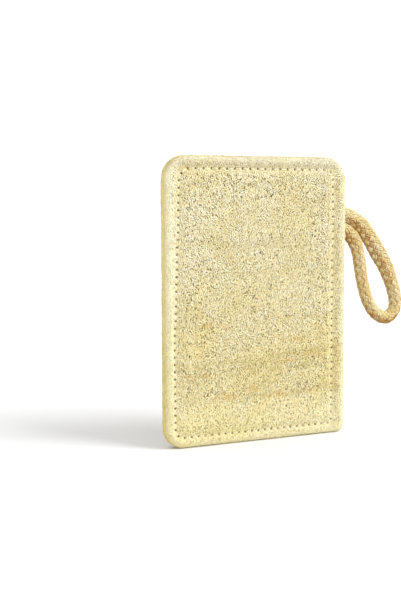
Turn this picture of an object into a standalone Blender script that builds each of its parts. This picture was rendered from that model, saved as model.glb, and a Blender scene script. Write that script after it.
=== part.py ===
"""A natural loofah scrub pad: two pressed loofah sheets sewn together round the edge, and a cotton rope loop.

It stands on its lower edge. X runs along its width, Y through its thickness and Z up its height, its
front faces -Y, and the origin is the middle of the lower edge.
"""

import math
import random

import bmesh
import bpy
from mathutils import Vector, geometry, noise

MM = 0.001

# Driving dimensions of the pad
WIDTH = 98 * MM
HEIGHT = 140 * MM
CORNER_RADII = {
    "lower_left": 9.5 * MM,
    "lower_right": 3.0 * MM,
    "upper_right": 11.5 * MM,
    "upper_left": 11.5 * MM,
}
LEAST_CORNER = 0.3 * MM
CLEARANCE = 0.3 * MM

# Section of one sheet: half thickness against the distance in from the edge
RIM_ROUND = 3.6 * MM
RIM_HALF = 4.4 * MM
SIDE_HALF = 1.9 * MM
BASE_SIDE_HALF = 3.7 * MM
SEAM_LIP = 0.8 * MM
SEAM_LIP_DEPTH = 0.4 * MM
FACE_INSET = 12.0 * MM
FACE_HALF = 4.9 * MM
CROWN = 0.5 * MM
RIM_STEPS = (32, 62, 90)
RIM_SPACING = 3.8 * MM
RIM_ARC_STEP = 15
RIM_WAVE = 0.25 * MM
RIM_WAVE_SCALE = 4 * MM
BASE_FLAT = 12 * MM

# The sheets bulge over the rope's ends
BULGE = 1.5 * MM
BULGE_LEVEL = 108.5 * MM
BULGE_HALF_WIDTH = 7.5 * MM
BULGE_FADE = 8.0 * MM
BULGE_REACH = (30 * MM, 44 * MM)

# Stitching
STITCH_PITCH = 3.65 * MM
STITCH_INSETS = {"left": 5.3 * MM, "right": 8.2 * MM, "bottom": 5.4 * MM, "top": 6.2 * MM}
STITCH_FURROW = 0.5 * MM
STITCH_FURROW_WIDTH = 1.8 * MM
THREAD_RADIUS = 0.28 * MM
STITCH_LINE_STEP = 0.5 * MM
STITCH_ARC_STEP = 4
HOLE_RADIUS = 0.9 * MM
HOLE_DEPTH = 1.2 * MM
THREAD_DIP = 0.35 * MM
THREAD_RISE = 0.25
THREAD_FINENESS = 24

# Raised net of fibre strands on each face: level strands, slanting bridges between them, pits in the gaps
NET_CLEAR = 2.3 * MM
STRAND_SPACING = 3.5 * MM
STRAND_STEP = 3.3 * MM
STRAND_RISE = 0.60 * MM
STRAND_VARIETY = (0.55, 1.15)
BRIDGE_RISE = 0.45 * MM
BRIDGE_SHARE = 0.30
PIT_DEPTH = 0.80 * MM
PIT_VARIETY = (0.7, 1.1)
NET_WANDER = 7.0 * MM
NET_WANDER_SCALE = 30 * MM
NET_JITTER = 0.6 * MM
SHEET_SEEDS = {"front_sheet": 11, "back_sheet": 42}
LEAST_AREA = 1e-4 * MM * MM
MERGE = 0.02 * MM

# Creases where the sheet was pressed: height at the middle, slope across the width, depth
CREASES = (
    (126 * MM, 0.01, 0.25 * MM),
    (97 * MM, -0.02, 0.30 * MM),
    (84 * MM, 0.03, 0.25 * MM),
    (60 * MM, 0.04, 0.55 * MM),
    (42 * MM, 0.07, -0.60 * MM),
    (35 * MM, 0.06, 0.60 * MM),
    (23 * MM, 0.02, 0.50 * MM),
)
CREASE_WIDTH = 2.4 * MM
CREASE_WANDER = 1.5 * MM
CREASE_SCALE = 30 * MM

# Cotton rope loop: its route from the upper end in the seam, down and round to the lower end
ROPE_DIAMETER = 6.5 * MM
ROPE_STEP = 4.0 * MM
ROPE_ROUTE = (
    (37.5, 0.0, 113.2),
    (42.0, 0.0, 113.0),
    (46.5, 0.0, 112.5),
    (50.8, 0.0, 111.3),
    (55.1, -0.1, 109.3),
    (60.3, -0.3, 105.8),
    (65.1, -0.5, 99.9),
    (69.4, -0.7, 93.2),
    (75.2, -0.9, 84.1),
    (79.1, -1.0, 74.7),
    (81.1, -1.0, 67.2),
    (80.2, -1.0, 61.0),
    (75.2, -0.9, 57.7),
    (69.1, -0.8, 60.5),
    (65.2, -0.6, 65.7),
    (62.8, -0.5, 71.3),
    (61.0, -0.4, 78.0),
    (59.9, -0.3, 84.5),
    (58.9, -0.2, 90.8),
    (57.1, -0.1, 96.5),
    (54.6, 0.0, 100.4),
    (50.9, 0.0, 103.2),
    (46.5, 0.0, 104.8),
    (42.0, 0.0, 105.4),
    (37.5, 0.0, 105.6),
)
ROPE_PINCH = 0.62
ROPE_PINCH_REACH = (45 * MM, 56 * MM)
ROUTE_FINENESS = 12
GROOVE_CLEAR = 0.35 * MM
GROOVE_SIDES = 12
GROOVE_POINTS = 5
GROOVE_END = 0.5 * MM

LOOFAH_FRONT = (224, 212, 165)
LOOFAH_BACK = (218, 203, 150)
THREAD_COLOUR = (226, 208, 178)
ROPE_COLOUR = (222, 202, 146)


def clear_scene():
    for item in list(bpy.data.objects):
        bpy.data.objects.remove(item)


def linear(channel):
    """One 0-255 channel of a screen colour as a linear value."""
    value = channel / 255
    if value <= 0.04045:
        return value / 12.92
    return ((value + 0.055) / 1.055) ** 2.4


def make_material(name, colour, roughness):
    material = bpy.data.materials.new(name)
    material.use_nodes = True
    shader = material.node_tree.nodes["Principled BSDF"]
    shader.inputs["Base Color"].default_value = (*map(linear, colour), 1)
    shader.inputs["Roughness"].default_value = roughness
    shader.inputs["Metallic"].default_value = 0
    return material


def make_object(name, points, faces, material):
    """A closed mesh object with its faces turned outwards."""
    body = bmesh.new()
    verts = [body.verts.new(point) for point in points]
    for face in faces:
        body.faces.new([verts[index] for index in face])
    bmesh.ops.recalc_face_normals(body, faces=body.faces)
    mesh = bpy.data.meshes.new(name)
    body.to_mesh(mesh)
    body.free()
    mesh.materials.append(material)
    item = bpy.data.objects.new(name, mesh)
    bpy.context.scene.collection.objects.link(item)
    return item


def smooth_step(value, low, high):
    share = min(max((value - low) / (high - low), 0), 1)
    return share * share * (3 - 2 * share)


def outline(insets, spacing, arc_step):
    """(point, outward normal) pairs round the pad, so far in from its edges, anticlockwise from the front."""
    corners = (
        ("lower_left", "left", "bottom", 180),
        ("lower_right", "right", "bottom", 270),
        ("upper_right", "right", "top", 0),
        ("upper_left", "left", "top", 90),
    )
    found = []
    for name, side_x, side_z, start in corners:
        radius = max(CORNER_RADII[name] - (insets[side_x] + insets[side_z]) / 2, LEAST_CORNER)
        x = WIDTH / 2 - insets[side_x] - radius
        z = insets[side_z] + radius
        centre = Vector((x if side_x == "right" else -x, z if side_z == "bottom" else HEIGHT - z))
        arc_steps = max(2, round(90 / arc_step * min(1, radius / (4 * MM) + 0.35)))
        for i in range(arc_steps + 1):
            angle = math.radians(start + 90 * i / arc_steps)
            normal = Vector((math.cos(angle), math.sin(angle)))
            found.append((centre + radius * normal, normal))
    filled = []
    for (here, normal), (after, _) in zip(found, found[1:] + found[:1]):
        filled.append((here, normal))
        run = (after - here).length
        steps = round(run / spacing)
        if run < 5 * MM or steps < 2:
            continue
        along = (after - here) / run
        square = Vector((along.y, -along.x))
        filled += [(here.lerp(after, i / steps), square) for i in range(1, steps)]
    return filled


def edge_distance(x, z):
    """How far a point of the face lies in from the pad's outline."""
    upper = z > HEIGHT / 2
    name = ("upper_" if upper else "lower_") + ("right" if x > 0 else "left")
    radius = CORNER_RADII[name]
    away_x = abs(x) - WIDTH / 2 + radius
    away_z = abs(z - HEIGHT / 2) - HEIGHT / 2 + radius
    outside = math.hypot(max(away_x, 0), max(away_z, 0))
    return radius - outside - min(max(away_x, away_z), 0)


def stitch_distance(x, z):
    """How far a point of the face lies inside the seam's line, negative outside it."""
    left = x + WIDTH / 2 - STITCH_INSETS["left"]
    right = WIDTH / 2 - STITCH_INSETS["right"] - x
    bottom = z - STITCH_INSETS["bottom"]
    top = HEIGHT - STITCH_INSETS["top"] - z
    return min(left, right, bottom, top)


def bulge(x, z):
    """How far a sheet stands out where it goes over the rope's ends."""
    across = 1 - smooth_step(abs(z - BULGE_LEVEL), BULGE_HALF_WIDTH, BULGE_HALF_WIDTH + BULGE_FADE)
    return BULGE * across * smooth_step(x, *BULGE_REACH)


def half_thickness(x, z):
    """The pad's smooth half thickness, without its net and creases."""
    inset = edge_distance(x, z)
    face = RIM_HALF + (FACE_HALF - RIM_HALF) * smooth_step(inset, RIM_ROUND, FACE_INSET)
    crown = CROWN * smooth_step(inset, FACE_INSET, WIDTH / 2)
    furrow = STITCH_FURROW * math.exp(-((stitch_distance(x, z) / STITCH_FURROW_WIDTH) ** 2))
    return face + crown - furrow + bulge(x, z)


def crease_height(x, z, seed):
    """The broad ridges and furrows left by pressing, negative in a furrow."""
    total = 0
    for level, slope, depth in CREASES:
        spot = Vector((x, level * 17, seed * CREASE_SCALE)) / CREASE_SCALE
        away = (z - level - slope * x - CREASE_WANDER * noise.noise(spot)) / CREASE_WIDTH
        strength = 0.65 + 0.7 * noise.noise(spot + Vector((7.3, 0, 0)))
        total -= depth * strength * math.exp(-away * away)
    return total


def resample(points, count, closed):
    """Points at even distances along a line of points."""
    line = list(points) + ([points[0]] if closed else [])
    reach = [0.0]
    for before, after in zip(line, line[1:]):
        reach.append(reach[-1] + (after - before).length)
    parts = count if closed else count - 1
    found = []
    index = 0
    for i in range(count):
        target = reach[-1] * i / parts
        while index < len(line) - 2 and reach[index + 1] < target:
            index += 1
        share = (target - reach[index]) / (reach[index + 1] - reach[index])
        found.append(line[index].lerp(line[index + 1], share))
    return found


def line_length(points):
    return sum((after - before).length for before, after in zip(points, points[1:]))


def stitch_line():
    """The seam's line on the face, finely stepped."""
    return [point for point, _ in outline(STITCH_INSETS, STITCH_LINE_STEP, STITCH_ARC_STEP)]


def stitch_count():
    line = stitch_line()
    return round(line_length(line + line[:1]) / STITCH_PITCH)


def net_points(seed):
    """The raised net: its points as {(row, column): (spot, height)}, and the pairs its strands join."""
    draw = random.Random(seed)
    rows = round(HEIGHT / STRAND_SPACING) * 2 + 8
    columns = round(WIDTH / STRAND_STEP) + 6
    found = {}
    for row in range(rows):
        for column in range(columns):
            x = (column + 0.5 * (row % 2) - columns / 2) * STRAND_STEP
            z = (row / 2 - 2) * STRAND_SPACING
            x += draw.uniform(-1, 1) * NET_JITTER
            z += draw.uniform(-1, 1) * NET_JITTER
            wander = noise.noise_vector(Vector((x, z, seed * NET_WANDER_SCALE)) / NET_WANDER_SCALE)
            spot = Vector((x + NET_WANDER * wander.x, z + NET_WANDER * wander.y))
            if row % 2 == 0:
                height = STRAND_RISE * draw.uniform(*STRAND_VARIETY)
            elif draw.random() < BRIDGE_SHARE:
                height = BRIDGE_RISE
            else:
                height = -PIT_DEPTH * draw.uniform(*PIT_VARIETY)
            if stitch_distance(*spot) > NET_CLEAR:
                found[row, column] = (spot, height)
    pairs = []
    for (row, column), (_, height) in found.items():
        if row % 2 == 0:
            pairs.append(((row, column), (row, column + 1)))
        elif height > 0:
            lean = draw.randint(0, 1)
            pairs.append(((row, column), (row - 1, column + lean)))
            pairs.append(((row, column), (row + 1, column + 1 - lean)))
    return found, [(a, b) for a, b in pairs if a in found and b in found]


def flat_area(a, b, c):
    return abs((b - a).cross(c - a)) / 2


def face_mesh(rim, seed):
    """The face inside its rim: its points with their height, its triangles, and which points are the rim."""
    spots = [point for point, _ in rim]
    edges = []
    heights = {}
    for middle in resample(stitch_line(), stitch_count(), True):
        first = len(spots)
        for i in range(4):
            angle = math.radians(90 * i + 45)
            spots.append(middle + HOLE_RADIUS * Vector((math.cos(angle), math.sin(angle))))
            edges.append((first + i, first + (i + 1) % 4))
        heights[len(spots)] = -HOLE_DEPTH
        spots.append(middle)
    net, pairs = net_points(seed)
    order = {}
    for key, (spot, height) in net.items():
        order[key] = len(spots)
        heights[len(spots)] = height
        spots.append(spot)
    edges += [(order[a], order[b]) for a, b in pairs]
    loop = list(range(len(rim)))
    flat, _, triangles, old_spots, _, _ = geometry.delaunay_2d_cdt(spots, edges, [loop], 1, MERGE, True)
    points = []
    place = {}
    for i, (spot, sources) in enumerate(zip(flat, old_spots)):
        x, z = spot
        height = half_thickness(x, z)
        level = next((heights[s] for s in sources if s in heights), 0)
        inside = smooth_step(stitch_distance(x, z), NET_CLEAR, 2 * NET_CLEAR)
        points.append((x, z, height + level + inside * crease_height(x, z, seed)))
        for source in sources:
            if source < len(rim):
                place[source] = i
    ring = [place[i] for i in range(len(rim))]
    kept = []
    for triangle in triangles:
        on_rim = set(triangle) <= set(ring)
        if not on_rim or flat_area(*(flat[i] for i in triangle)) > LEAST_AREA:
            kept.append(triangle)
    return points, kept, ring


def make_sheet(name, side, material):
    """One loofah sheet: its face with the raised net, its rounded edge, and its flat inner face."""
    seed = SHEET_SEEDS[name]
    rim = outline(dict.fromkeys(STITCH_INSETS, RIM_ROUND), RIM_SPACING, RIM_ARC_STEP)
    face, triangles, ring = face_mesh(rim, seed)
    points = [(x, side * height, z) for x, z, height in face]
    faces = [tuple(triangle) for triangle in triangles]
    rows = [(math.radians(degrees), None) for degrees in RIM_STEPS]
    rows += [(math.pi / 2, SEAM_LIP), (None, CLEARANCE / 2)]
    before = ring
    for turn, height in rows:
        row = []
        for point, normal in rim:
            out = RIM_ROUND * math.sin(turn) if turn else RIM_ROUND - SEAM_LIP_DEPTH
            wave = RIM_WAVE * noise.noise(Vector((*point, seed * RIM_WAVE_SCALE)) / RIM_WAVE_SCALE)
            wave *= smooth_step(point.y, BASE_FLAT / 2, BASE_FLAT) * out / RIM_ROUND
            spot = point + (out + wave) * normal
            side_half = SIDE_HALF + (BASE_SIDE_HALF - SIDE_HALF) * max(-normal.y, 0)
            rounded = side_half + bulge(*spot) + (RIM_HALF - side_half) * math.cos(turn or 0)
            row.append(len(points))
            points.append((spot.x, side * (rounded if height is None else height), spot.y))
        for i in range(len(row)):
            after = (i + 1) % len(row)
            faces.append((before[i], before[after], row[after], row[i]))
        before = row
    faces.append(tuple(before))
    return make_object(name, points, faces, material)


def make_thread(name, side, material):
    """One thread of the lockstitch: a closed three-sided tube that dips into each hole."""
    count = stitch_count()
    line = resample(stitch_line(), THREAD_FINENESS * count, True)
    lift = THREAD_RADIUS + CLEARANCE
    middles = []
    for stitch in range(count):
        for share, rise in ((0, -THREAD_DIP), (THREAD_RISE, lift), (1 - THREAD_RISE, lift)):
            spot = line[(THREAD_FINENESS * stitch + round(THREAD_FINENESS * share)) % len(line)]
            middles.append(Vector((spot.x, side * (half_thickness(*spot) + rise), spot.y)))
    points = []
    faces = []
    total = len(middles)
    for i, middle in enumerate(middles):
        along = (middles[(i + 1) % total] - middles[i - 1]).normalized()
        across = along.cross(Vector((0, side, 0))).normalized()
        upward = across.cross(along).normalized()
        for corner in range(3):
            angle = math.radians(90 + 120 * corner)
            offset = math.cos(angle) * across + math.sin(angle) * upward
            points.append(middle + THREAD_RADIUS * offset)
            next_corner = (corner + 1) % 3
            here = 3 * i
            there = 3 * ((i + 1) % total)
            faces.append((here + corner, here + next_corner, there + next_corner, there + corner))
    return make_object(name, points, faces, material)


def smooth_route():
    """The rope's middle line: a smooth curve through the route's own points, at even steps."""
    knots = [Vector(point) * MM for point in ROPE_ROUTE]
    ends = [2 * knots[0] - knots[1]] + knots + [2 * knots[-1] - knots[-2]]
    fine = []
    for before, start, end, after in zip(ends, ends[1:], ends[2:], ends[3:]):
        for i in range(ROUTE_FINENESS):
            t = i / ROUTE_FINENESS
            fine.append(
                0.5
                * (
                    2 * start
                    + (end - before) * t
                    + (2 * before - 5 * start + 4 * end - after) * t**2
                    + (3 * start - before - 3 * end + after) * t**3
                )
            )
    fine.append(knots[-1])
    return resample(fine, round(line_length(fine) / ROPE_STEP) + 1, False)


def rope_radius(x):
    """The rope's radius, which the seam pinches."""
    return ROPE_DIAMETER / 2 * (ROPE_PINCH + (1 - ROPE_PINCH) * smooth_step(x, *ROPE_PINCH_REACH))


def make_rope(material):
    curve = bpy.data.curves.new("rope_loop", "CURVE")
    curve.dimensions = "3D"
    curve.bevel_depth = ROPE_DIAMETER / 2
    curve.bevel_resolution = 2
    curve.use_fill_caps = True
    curve.materials.append(material)
    route = smooth_route()
    spline = curve.splines.new("POLY")
    spline.points.add(len(route) - 1)
    for point, place in zip(spline.points, route):
        point.co = (*place, 1)
        point.radius = rope_radius(place.x) / curve.bevel_depth
    rope = bpy.data.objects.new("rope_loop", curve)
    bpy.context.scene.collection.objects.link(rope)
    return rope


def make_groove_cutter(name, route, material):
    """A tube a little wider than the rope, along the end of it that lies in the seam."""
    start = route[0] + (route[0] - route[1]).normalized() * GROOVE_END
    middles = [start] + route[1:]
    points = []
    faces = []
    for i, middle in enumerate(middles):
        along = (middles[min(i + 1, len(middles) - 1)] - middles[max(i - 1, 0)]).normalized()
        across = along.cross(Vector((0, 1, 0))).normalized()
        for corner in range(GROOVE_SIDES):
            angle = math.tau * (corner + 0.5) / GROOVE_SIDES
            offset = math.cos(angle) * across + math.sin(angle) * Vector((0, 1, 0))
            radius = (rope_radius(middle.x) + GROOVE_CLEAR) / math.cos(math.pi / GROOVE_SIDES)
            points.append(middle + radius * offset)
    for i in range(len(middles) - 1):
        for corner in range(GROOVE_SIDES):
            after = (corner + 1) % GROOVE_SIDES
            here = GROOVE_SIDES * i
            there = here + GROOVE_SIDES
            faces.append((here + corner, here + after, there + after, there + corner))
    faces.append(tuple(range(GROOVE_SIDES)))
    faces.append(tuple(range(len(points) - GROOVE_SIDES, len(points))))
    cutter = make_object(name, points, faces, material)
    cutter.hide_render = True
    cutter.display_type = "WIRE"
    return cutter


def cut_groove(sheet, cutter):
    cut = sheet.modifiers.new(cutter.name, "BOOLEAN")
    cut.operation = "DIFFERENCE"
    cut.object = cutter


def build():
    clear_scene()
    loofah_front = make_material("loofah_front", LOOFAH_FRONT, 0.9)
    loofah_back = make_material("loofah_back", LOOFAH_BACK, 0.9)
    thread = make_material("cotton_thread", THREAD_COLOUR, 0.8)
    rope = make_material("cotton_rope", ROPE_COLOUR, 0.85)
    front = make_sheet("front_sheet", -1, loofah_front)
    back = make_sheet("back_sheet", 1, loofah_back)
    make_thread("needle_thread", -1, thread)
    make_thread("bobbin_thread", 1, thread)
    make_rope(rope)
    route = smooth_route()
    for name, end in (("upper_groove", route), ("lower_groove", route[::-1])):
        cutter = make_groove_cutter(name, end[:GROOVE_POINTS], rope)
        cut_groove(front, cutter)
        cut_groove(back, cutter)


build()
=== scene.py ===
# Looks of a natural loofah scrub pad: two pressed sheets of loofah fibre sewn together, and a rope loop.
# It stands on its lower edge and faces -Y. Sizes are in millimetres, and mm turns them into metres.
import math
import random

import bmesh
import bpy
import numpy as np
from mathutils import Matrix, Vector, geometry, noise


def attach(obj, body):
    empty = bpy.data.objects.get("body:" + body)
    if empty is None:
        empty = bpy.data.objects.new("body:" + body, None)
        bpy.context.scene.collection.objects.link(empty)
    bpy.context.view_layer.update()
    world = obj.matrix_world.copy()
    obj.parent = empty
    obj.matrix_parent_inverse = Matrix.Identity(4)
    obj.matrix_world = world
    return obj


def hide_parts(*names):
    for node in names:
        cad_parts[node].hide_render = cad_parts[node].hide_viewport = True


mm = 0.001
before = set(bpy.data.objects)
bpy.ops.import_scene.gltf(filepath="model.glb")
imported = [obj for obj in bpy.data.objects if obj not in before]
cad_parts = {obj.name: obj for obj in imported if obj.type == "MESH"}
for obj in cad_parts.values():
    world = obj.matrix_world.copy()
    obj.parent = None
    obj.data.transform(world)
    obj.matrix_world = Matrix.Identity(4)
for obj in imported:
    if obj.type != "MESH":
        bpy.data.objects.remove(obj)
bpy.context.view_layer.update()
scene = bpy.context.scene
print("frame loaded:", sorted(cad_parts))


# Camera, at the photograph's place and viewing angle
cameraView = {
    "place": (-213.3, -423.8, 114.9),
    "turn": 23.41,  # degrees from +Y towards +X
    "dip": 5.37,  # degrees below level
    "roll": -0.22,
    "focalPixels": 964.3,
    "framePixels": (401, 601),
    "shiftPixels": -1.3,
    "sensor": 36,
}


def makeCamera(view):
    turn, dip, roll = (math.radians(view[name]) for name in ("turn", "dip", "roll"))
    level = Vector((math.sin(turn), math.cos(turn), 0))
    right = Vector((math.cos(turn), -math.sin(turn), 0))
    ahead = level * math.cos(dip) - Vector((0, 0, math.sin(dip)))
    upward = Vector((0, 0, math.cos(dip))) + level * math.sin(dip)
    across = right * math.cos(roll) + upward * math.sin(roll)
    above = upward * math.cos(roll) - right * math.sin(roll)
    lens = bpy.data.cameras.new("camera")
    lens.sensor_fit = "AUTO"
    lens.sensor_width = view["sensor"]
    lens.lens = view["focalPixels"] / view["framePixels"][1] * view["sensor"]
    lens.shift_y = view["shiftPixels"] / view["framePixels"][1]
    lens.clip_start = 0.02
    camera = bpy.data.objects.new("camera", lens)
    scene.collection.objects.link(camera)
    grid = camera.matrix_world
    for row in range(3):
        grid[row][0], grid[row][1], grid[row][2] = across[row], above[row], -ahead[row]
        grid[row][3] = view["place"][row] * mm
    camera.matrix_world = grid
    return camera


scene.camera = makeCamera(cameraView)


# Nodes as Python expressions: a Wire is one output socket, in a material or in a Geometry Nodes tree
class Wire:
    def __init__(self, tree, socket):
        self.tree = tree
        self.socket = socket

    def maths(self, operation, *others):
        parts = (self, *others)
        flows = any(isinstance(part, Wire) and part.socket.type in ("VECTOR", "RGBA") for part in parts)
        flows = flows or any(isinstance(part, (tuple, Vector)) for part in parts)
        kind = "ShaderNodeVectorMath" if flows else "ShaderNodeMath"
        if flows and operation == "MULTIPLY" and any(isinstance(part, (int, float)) for part in parts):
            parts = [(part,) * 3 if isinstance(part, (int, float)) else part for part in parts]
        return node(self.tree, kind, {"operation": operation}, dict(enumerate(parts)))

    def __add__(self, other):
        return self.maths("ADD", other)

    def __sub__(self, other):
        return self.maths("SUBTRACT", other)

    def __mul__(self, other):
        return self.maths("MULTIPLY", other)

    def __truediv__(self, other):
        return self.maths("DIVIDE", other)

    def __pow__(self, other):
        return self.maths("POWER", other)

    def __rsub__(self, other):
        return node(self.tree, "ShaderNodeMath", {"operation": "SUBTRACT"}, {0: other, 1: self})

    def most(self, other):
        return self.maths("MAXIMUM", other)

    def size(self):
        return node(self.tree, "ShaderNodeVectorMath", {"operation": "LENGTH"}, {0: self}, "Value")

    def wave(self):
        return self.maths("SINE")

    def ramp(self, low, high, start=0.0, end=1.0):
        settings = {"interpolation_type": "SMOOTHSTEP", "clamp": True}
        return node(self.tree, "ShaderNodeMapRange", settings, {0: self, 1: low, 2: high, 3: start, 4: end})

    def parts(self):
        split = "ShaderNodeSeparateXYZ"
        return [node(self.tree, split, {}, {0: self}, name) for name in "XYZ"]


def node(tree, kind, settings=None, inputs=None, output=0):
    made = tree.nodes.new(kind)
    for name, value in (settings or {}).items():
        if name == "stops":
            for i, (place, shade) in enumerate(value):
                while len(made.color_ramp.elements) <= i:
                    made.color_ramp.elements.new(1)
                made.color_ramp.elements[i].position = place
                made.color_ramp.elements[i].color = shade
        else:
            setattr(made, name, value)
    for name, value in (inputs or {}).items():
        if isinstance(value, Wire):
            tree.links.new(value.socket, made.inputs[name])
        else:
            made.inputs[name].default_value = value
    return Wire(tree, made.outputs[output])


def colour(red, green, blue):  # a screen colour, 0 to 255, as linear light
    return (*(((c / 255 + 0.055) / 1.055) ** 2.4 for c in (red, green, blue)), 1.0)


def mixColours(share, first, second, blend="MIX"):
    settings = {"data_type": "RGBA", "blend_type": blend, "clamp_factor": True}
    return node(share.tree, "ShaderNodeMix", settings, {0: share, 6: first, 7: second}, 2)


def pattern(tree, place, scale, detail=2.0, output="Fac"):
    return node(tree, "ShaderNodeTexNoise", {}, {"Vector": place, "Scale": scale, "Detail": detail}, output)


def attribute(tree, name):
    return node(tree, "ShaderNodeAttribute", {"attribute_name": name}, {}, "Fac")


def startMaterial(name):
    material = bpy.data.materials.new(name)
    material.use_nodes = True
    tree = material.node_tree
    place = node(tree, "ShaderNodeTexCoord", {}, {}, "Object")
    return material, tree, tree.nodes["Principled BSDF"], place


def finishMaterial(tree, shader, base, rough, height=None, reach=0.1):
    tree.links.new(base.socket, shader.inputs["Base Color"])
    shader.inputs["Roughness"].default_value = rough
    shader.inputs["Specular IOR Level"].default_value = 0.25
    if height is not None:
        bump = node(tree, "ShaderNodeBump", {}, {"Strength": 0.5, "Distance": reach * mm, "Height": height})
        tree.links.new(bump.socket, shader.inputs["Normal"])


# Form of the pad, in millimetres, as it is built: width, height, corner radii and the section of one sheet
pad = {
    "width": 98,
    "height": 140,
    "radii": {"lowerLeft": 9.5, "lowerRight": 3.0, "upperRight": 11.5, "upperLeft": 11.5},
    "leastCorner": 0.3,
    "leastRun": 5,
    "clearance": 0.04,
    "rimRound": 3.6,
    "rimHalf": 4.4,
    "sideHalf": 1.9,
    "seamLip": 0.8,
    "seamLipDepth": 0.4,
    "faceInset": 12.0,
    "faceHalf": 4.9,
    "crown": 0.5,
    "rimWave": 0.15,
    "rimWaveScale": 4.0,
    "baseFlat": (6, 12),
}
ropeSwell = {"rise": 0.5, "level": 108.5, "halfWidth": 7.5, "fade": 8.0, "reach": (30, 44)}
stitching = {
    "pitches": {"left": 3.5, "right": 3.7, "bottom": 3.6, "top": 4.1},
    "insets": {"left": 5.3, "right": 8.2, "bottom": 5.4, "top": 6.2},
    "leftWander": ((0, -0.9), (30, -1.1), (48, -1.4), (70, -0.4), (90, 0.2), (110, 1.0), (140, 1.6)),
    "wanderFade": (16, 8),  # from the left edge
    "step": 0.5,
    "arcStep": 4,
    "rowReach": 1.5,  # times the inset, where the pitch of the top or the bottom row holds
    "furrow": 0.55,
    "furrowWidth": 1.5,
    "holeRadius": 0.42,
    "holeMouth": 0.8,
    "holeGap": 1.25,  # times the mouth, kept clear of the mat's own points
    "holeDepth": 2.2,
    "edgeDrop": 0.7,
    # painted shade on the ring round each stitch hole
    "edgeDark": 0.8,
    "threadRadius": 0.25,
    "threadSides": 6,
    "threadSink": 0.18,
    "fineness": 12,
    "dip": 1.3,
    "dipReach": (0.05, 0.95),
    # painted shade on the thread where it dips into a hole
    "dipShade": (0.35, 0.9),
}
creases = (
    {"level": 126, "slope": 0.01, "depth": 0.25},
    {"level": 97, "slope": -0.02, "depth": 0.30},
    {"level": 84, "slope": 0.03, "depth": 0.25},
    {"level": 60, "slope": 0.04, "depth": 0.55},
    {"level": 42, "slope": 0.07, "depth": -0.60},
    {"level": 35, "slope": 0.06, "depth": 0.60},
    {"level": 23, "slope": 0.02, "depth": 0.50},
)
creaseForm = {"width": 2.4, "wander": 1.5, "scale": 30, "spread": 17, "shift": 7.3, "strength": (0.65, 0.7)}
# Broken runs of painted shade along the creases
creaseShadeForm = {"width": 1.1, "scale": 7, "spread": 9, "seed": 6, "strength": (0.5, 1.6)}


# Marks left by pressing, deeper in colour: place across and up the face, half width, half height and strength
pressMarks = {
    "front": (
        (-18.8, 23.8, 5.5, 1.0, 0.8),
        (-4.4, 26.6, 2.8, 1.2, 0.75),
        (10.3, 22.7, 5.0, 1.2, 0.65),
        (26.0, 23.5, 9.0, 0.7, 0.3),
        (30.1, 42.3, 6.0, 1.5, 0.4),
        (19.2, 50.0, 6.0, 2.0, 0.35),
        (-18.7, 58.2, 1.6, 1.2, 0.7),
        (-27.7, 59.2, 5.0, 0.9, 0.4),
        (-29.1, 34.7, 2.8, 0.9, 0.7),
        (-39.2, 34.8, 2.6, 0.8, 0.5),
        (-8.4, 36.2, 0.9, 2.2, 0.6),
        (13.6, 39.5, 5.0, 1.0, 0.45),
        (-37.2, 133.8, 2.2, 1.2, 0.5),
        (-16.2, 90.7, 1.4, 2.2, 0.5),
        (-22.6, 92.0, 1.2, 2.0, 0.3),
        (8.8, 75.9, 1.8, 2.2, 0.3),
        (42.3, 97.9, 1.0, 4.0, 0.35),
        (-32.3, 86.2, 6.0, 0.6, 0.35),
        (41.1, 25.1, 1.0, 5.0, 0.4),
        (-15.0, 136.5, 14.0, 1.0, 0.25),
    ),
    "back": (
        (14.0, 30.0, 6.0, 1.2, 0.6),
        (-9.0, 33.0, 3.0, 1.2, 0.5),
        (-24.0, 58.0, 6.0, 1.0, 0.5),
        (22.0, 84.0, 5.0, 1.0, 0.4),
        (2.0, 104.0, 2.0, 2.6, 0.4),
        (-33.0, 96.0, 1.2, 3.0, 0.35),
    ),
}


def smoothStep(value, low, high):
    share = min(max((value - low) / (high - low), 0), 1)
    return share * share * (3 - 2 * share)


def along(value, table):  # smooth run through a few (place, value) pairs
    for (low, first), (high, second) in zip(table, table[1:]):
        if value <= high:
            return first + (second - first) * smoothStep(value, low, high)
    return table[-1][1]


def outline(insets, spacing, arcStep):  # (point, outward normal) pairs round the pad, inside its edges
    corners = (
        ("lowerLeft", "left", "bottom", 180),
        ("lowerRight", "right", "bottom", 270),
        ("upperRight", "right", "top", 0),
        ("upperLeft", "left", "top", 90),
    )
    found = []
    for name, sideX, sideZ, start in corners:
        radius = max(pad["radii"][name] - (insets[sideX] + insets[sideZ]) / 2, pad["leastCorner"])
        x = pad["width"] / 2 - insets[sideX] - radius
        z = insets[sideZ] + radius
        centre = Vector((x if sideX == "right" else -x, z if sideZ == "bottom" else pad["height"] - z))
        steps = max(4, round(90 / arcStep))
        for i in range(steps + 1):
            angle = math.radians(start + 90 * i / steps)
            normal = Vector((math.cos(angle), math.sin(angle)))
            found.append((centre + radius * normal, normal))
    filled = []
    for (here, normal), (after, _) in zip(found, found[1:] + found[:1]):
        filled.append((here, normal))
        run = (after - here).length
        steps = round(run / spacing)
        if run < pad["leastRun"] or steps < 2:
            continue
        ahead = (after - here) / run
        filled += [(here.lerp(after, i / steps), Vector((ahead.y, -ahead.x))) for i in range(1, steps)]
    return filled


def edgeDistance(x, z):
    upper = z > pad["height"] / 2
    radius = pad["radii"][("upper" if upper else "lower") + ("Right" if x > 0 else "Left")]
    awayX = abs(x) - pad["width"] / 2 + radius
    awayZ = abs(z - pad["height"] / 2) - pad["height"] / 2 + radius
    outside = math.hypot(max(awayX, 0), max(awayZ, 0))
    return radius - outside - min(max(awayX, awayZ), 0)


def leftShift(z):
    return along(z, stitching["leftWander"])


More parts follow.
